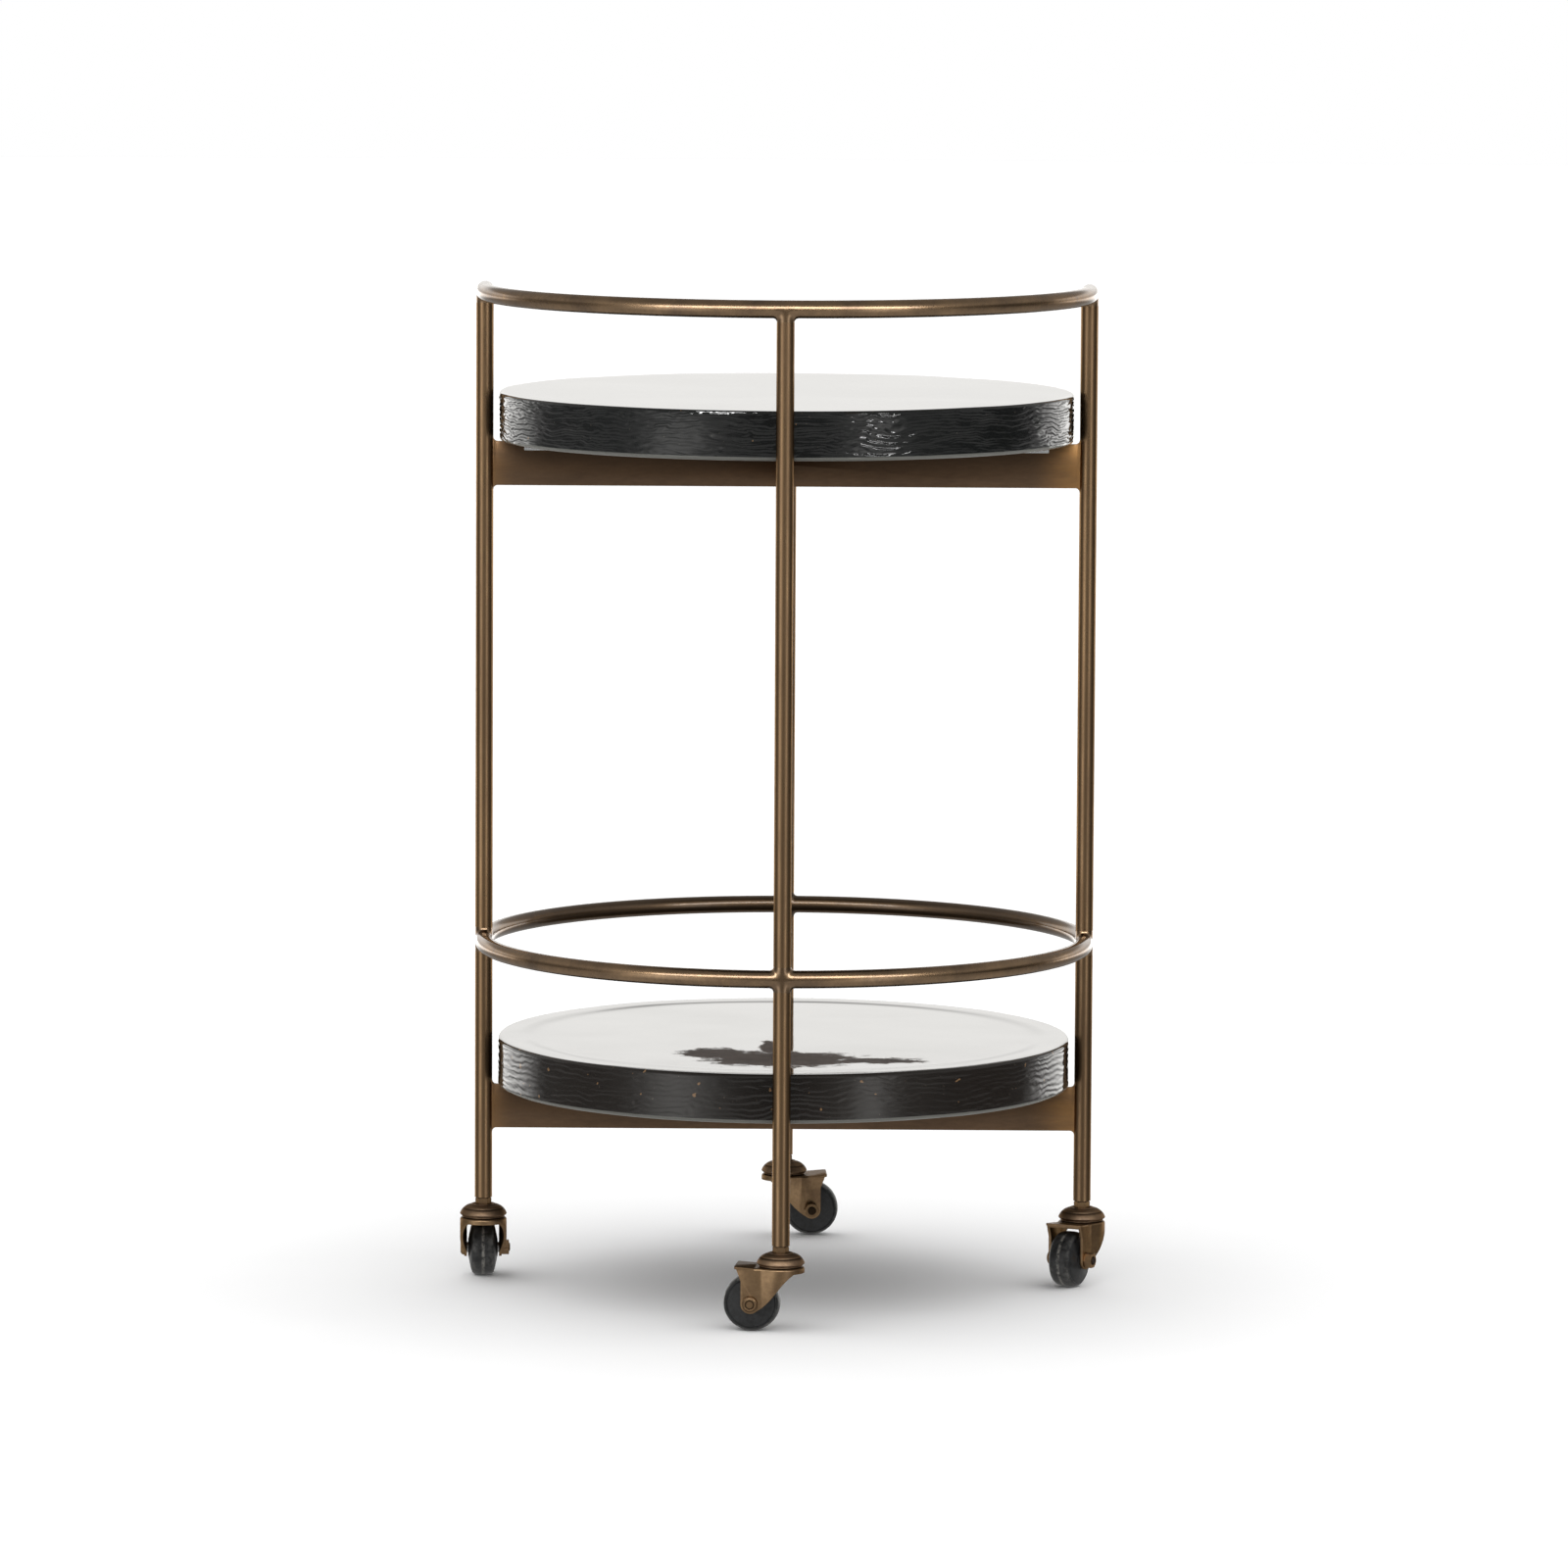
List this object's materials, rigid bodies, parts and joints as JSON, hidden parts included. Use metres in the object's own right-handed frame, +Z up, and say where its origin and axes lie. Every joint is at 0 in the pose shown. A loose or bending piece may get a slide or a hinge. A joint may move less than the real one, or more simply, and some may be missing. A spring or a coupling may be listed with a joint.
{
  "type": "bar cart",
  "caption": "Round two-tier bar cart: bronze tube frame with a half-round top rail and a gallery ring, thick dark glass trays on crossed bars, swivel casters.",
  "frame": {"origin": "on the floor under the middle of the circle of four posts", "axes": "+Z up; +Y towards the open side of the half-round top rail; +X to the right of a person who faces +Y"},
  "size_m": [0.5914, 0.5912, 0.9144],
  "materials": {
    "bronze_tube": "dark antique bronze patina with golden rub-through, satin",
    "bronze_bar": "dark bronze patina, satin",
    "caster_brass": "antique brass, satin",
    "cast_glass": "thick cast glass, smoked black, polished",
    "clear_bumper": "clear soft plastic",
    "bearing_steel": "ground steel",
    "wheel_hub": "black nylon",
    "tyre_rubber": "hard black rubber, lightly polished"
  },
  "bodies": {
    "frame": {"gallery_ring": "bronze_tube", "top_rail": "bronze_tube", "rail_end_caps": "bronze_tube", "rear_post_cap": "bronze_tube", "weld_beads": "bronze_tube", "post_left_lower": "bronze_tube", "post_left_upper": "bronze_tube", "post_right_lower": "bronze_tube", "post_right_upper": "bronze_tube", "post_front_lower": "bronze_tube", "post_front_upper": "bronze_tube", "post_rear_lower": "bronze_tube", "post_rear_upper": "bronze_tube", "upper_bar_side_to_side": "bronze_bar", "upper_bar_front_to_rear": "bronze_bar", "lower_bar_side_to_side": "bronze_bar", "lower_bar_front_to_rear": "bronze_bar", "upper_bumpers": "clear_bumper", "lower_bumpers": "clear_bumper", "upper_tray": "cast_glass", "lower_tray": "cast_glass", "post_inserts": "caster_brass", "jam_nuts": "caster_brass", "caster_left_stem": "caster_brass", "caster_left_hood": "caster_brass", "caster_front_stem": "caster_brass", "caster_front_hood": "caster_brass", "caster_rear_stem": "caster_brass", "caster_rear_hood": "caster_brass", "caster_right_stem": "caster_brass", "caster_right_hood": "caster_brass"},
    "caster_left_swivel": {"caster_left_balls": "bearing_steel", "caster_left_fork": "caster_brass", "caster_left_axle_bolt": "caster_brass", "caster_left_axle_nut": "caster_brass", "caster_left_axle_sleeve": "bearing_steel"},
    "caster_left_wheel": {"caster_left_wheel_hub": "wheel_hub", "caster_left_tyre": "tyre_rubber"},
    "caster_front_swivel": {"caster_front_balls": "bearing_steel", "caster_front_fork": "caster_brass", "caster_front_axle_bolt": "caster_brass", "caster_front_axle_nut": "caster_brass", "caster_front_axle_sleeve": "bearing_steel"},
    "caster_front_wheel": {"caster_front_wheel_hub": "wheel_hub", "caster_front_tyre": "tyre_rubber"},
    "caster_rear_swivel": {"caster_rear_balls": "bearing_steel", "caster_rear_fork": "caster_brass", "caster_rear_axle_bolt": "caster_brass", "caster_rear_axle_nut": "caster_brass", "caster_rear_axle_sleeve": "bearing_steel"},
    "caster_rear_wheel": {"caster_rear_wheel_hub": "wheel_hub", "caster_rear_tyre": "tyre_rubber"},
    "caster_right_swivel": {"caster_right_balls": "bearing_steel", "caster_right_fork": "caster_brass", "caster_right_axle_bolt": "caster_brass", "caster_right_axle_nut": "caster_brass", "caster_right_axle_sleeve": "bearing_steel"},
    "caster_right_wheel": {"caster_right_wheel_hub": "wheel_hub", "caster_right_tyre": "tyre_rubber"}
  },
  "joints": [
    {"name": "caster_left_swivel_turn", "type": "hinge", "parent": "frame", "child": "caster_left_swivel", "pos_m": [-0.274, 0, 0.0575], "axis": [0, 0, 1], "continuous": true},
    {"name": "caster_left_wheel_spin", "type": "hinge", "parent": "caster_left_swivel", "child": "caster_left_wheel", "pos_m": [-0.27533, 0.02537, 0.0254], "axis": [-0.9986, -0.0523, 0], "continuous": true},
    {"name": "caster_front_swivel_turn", "type": "hinge", "parent": "frame", "child": "caster_front_swivel", "pos_m": [0, -0.274, 0.0575], "axis": [0, 0, 1], "continuous": true},
    {"name": "caster_front_wheel_spin", "type": "hinge", "parent": "caster_front_swivel", "child": "caster_front_wheel", "pos_m": [-0.02526, -0.27135, 0.0254], "axis": [-0.1045, -0.9945, 0], "continuous": true},
    {"name": "caster_rear_swivel_turn", "type": "hinge", "parent": "frame", "child": "caster_rear_swivel", "pos_m": [0, 0.274, 0.0575], "axis": [0, 0, 1], "continuous": true},
    {"name": "caster_rear_wheel_spin", "type": "hinge", "parent": "caster_rear_swivel", "child": "caster_rear_wheel", "pos_m": [0.02537, 0.2752, 0.0254], "axis": [-0.0471, 0.9989, 0], "continuous": true},
    {"name": "caster_right_swivel_turn", "type": "hinge", "parent": "frame", "child": "caster_right_swivel", "pos_m": [0.274, 0, 0.0575], "axis": [0, 0, 1], "continuous": true},
    {"name": "caster_right_wheel_spin", "type": "hinge", "parent": "caster_right_swivel", "child": "caster_right_wheel", "pos_m": [0.26247, -0.02263, 0.0254], "axis": [0.891, -0.454, 0], "continuous": true}
  ]
}
